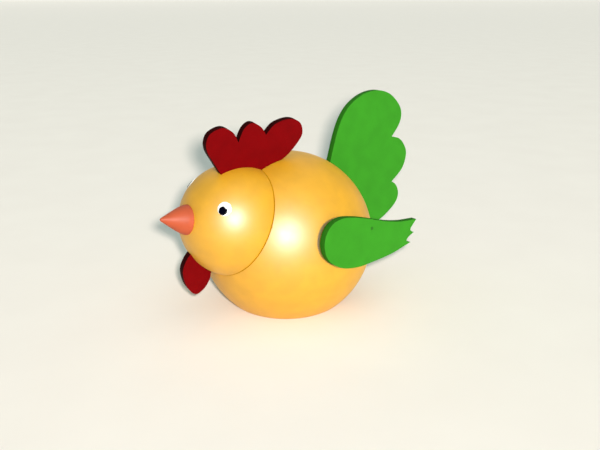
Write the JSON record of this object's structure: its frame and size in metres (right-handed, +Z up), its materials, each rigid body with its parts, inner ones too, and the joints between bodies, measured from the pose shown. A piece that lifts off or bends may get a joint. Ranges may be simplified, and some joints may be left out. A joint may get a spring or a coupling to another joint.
{
  "type": "wind-up hopping chicken",
  "caption": "Painted wooden ball chicken on a flat base, with a turnable half-ball head, board comb, tail and wings, and a hidden clockwork foot that makes it hop.",
  "frame": {"origin": "centre of the flat base that the ball body stands on", "axes": "+Z up, beak towards -Y, the chicken's left side towards +X"},
  "size_m": [0.0985, 0.1429, 0.0942],
  "materials": {
    "yellow_enamel": "satin yellow enamel on turned wood",
    "red_enamel": "satin red enamel on sawn board",
    "green_enamel": "satin green enamel on sawn board",
    "orange_enamel": "satin orange enamel on turned wood",
    "white_enamel": "gloss enamel spot",
    "black_enamel": "gloss enamel spot",
    "beech": "sanded",
    "base_board": "sanded and waxed",
    "zinc_steel": "zinc plated",
    "blued_steel": "blued spring steel",
    "painted_steel": "green enamel over a steel nail",
    "nickel_key": "nickel plated",
    "motor_brass": "stamped and rolled",
    "plate_steel": "lacquered tinplate",
    "foot_rubber": "matt"
  },
  "bodies": {
    "body": {"body_shell": "yellow_enamel", "tail": "green_enamel", "tail_pins": "zinc_steel", "wing_left": "green_enamel", "wing_right": "green_enamel", "wing_peg_left": "beech", "wing_peg_right": "beech", "wing_nail_left": "painted_steel", "wing_nail_right": "painted_steel", "base_plate": "base_board", "base_screws": "zinc_steel", "motor_plate_left": "plate_steel", "motor_plate_right": "plate_steel", "motor_pillars": "zinc_steel", "motor_screws": "zinc_steel", "key_bush": "motor_brass", "mainspring": "blued_steel", "governor_stud": "zinc_steel", "kicker_pivot": "zinc_steel", "kicker_spring": "blued_steel"},
    "head": {"head": "yellow_enamel", "neck_dowel": "beech", "neck_washer": "zinc_steel", "neck_screw": "zinc_steel", "beak": "orange_enamel", "comb": "red_enamel", "comb_pins": "zinc_steel", "wattle": "red_enamel", "wattle_pin": "zinc_steel", "eye_left": "white_enamel", "eye_right": "white_enamel", "pupil_left": "black_enamel", "pupil_right": "black_enamel"},
    "winding": {"winding_arbor": "zinc_steel", "winding_key": "nickel_key", "ratchet_wheel": "zinc_steel"},
    "drive": {"great_wheel": "motor_brass", "click_pin": "zinc_steel", "click_spring": "blued_steel"},
    "click": {"ratchet_click": "zinc_steel"},
    "second": {"second_arbor": "zinc_steel", "second_wheel": "motor_brass"},
    "cam": {"cam_arbor": "zinc_steel", "kick_cam": "motor_brass", "star_wheel": "motor_brass"},
    "governor": {"governor_rocker": "zinc_steel", "governor_weight": "motor_brass"},
    "kicker": {"kicker_lever": "zinc_steel", "kicker_foot": "foot_rubber"}
  },
  "joints": [
    {"name": "head_swivel", "type": "hinge", "parent": "body", "child": "head", "pos_m": [0, 0, 0.03122], "axis": [0, -0.8988, 0.4384], "range_deg": [-80, 100]},
    {"name": "key_turn", "type": "hinge", "parent": "body", "child": "winding", "pos_m": [0, 0.001, 0.015], "axis": [1, 0, 0], "continuous": true, "deforming": ["mainspring"]},
    {"name": "great_wheel_spin", "type": "hinge", "parent": "body", "child": "drive", "pos_m": [0, 0.001, 0.015], "axis": [1, 0, 0], "continuous": true},
    {"name": "click_lift", "type": "hinge", "parent": "drive", "child": "click", "pos_m": [0, 0.00663, 0.0136], "axis": [1, 0, 0], "range_deg": [0, 10], "stiffness_Nm_per_rad": 0.0005, "springref_deg": -5.73},
    {"name": "second_wheel_spin", "type": "hinge", "parent": "body", "child": "second", "pos_m": [0, -0.00717, 0.01827], "axis": [1, 0, 0], "continuous": true},
    {"name": "cam_spin", "type": "hinge", "parent": "body", "child": "cam", "pos_m": [0, -0.0105, 0.011], "axis": [1, 0, 0], "continuous": true},
    {"name": "governor_rock", "type": "hinge", "parent": "body", "child": "governor", "pos_m": [0, -0.01154, 0.01691], "axis": [1, 0, 0], "range_deg": [-4, 4]},
    {"name": "kicker_kick", "type": "hinge", "parent": "body", "child": "kicker", "pos_m": [0, 0.0105, 0.0062], "axis": [1, 0, 0], "range_deg": [0, 10], "stiffness_Nm_per_rad": 0.02, "springref_deg": -8.59, "deforming": ["kicker_spring"]}
  ],
  "couplings": [
    {"joint": "second_wheel_spin", "follows": "great_wheel_spin", "ratio": -4.5},
    {"joint": "cam_spin", "follows": "great_wheel_spin", "ratio": 18}
  ]
}
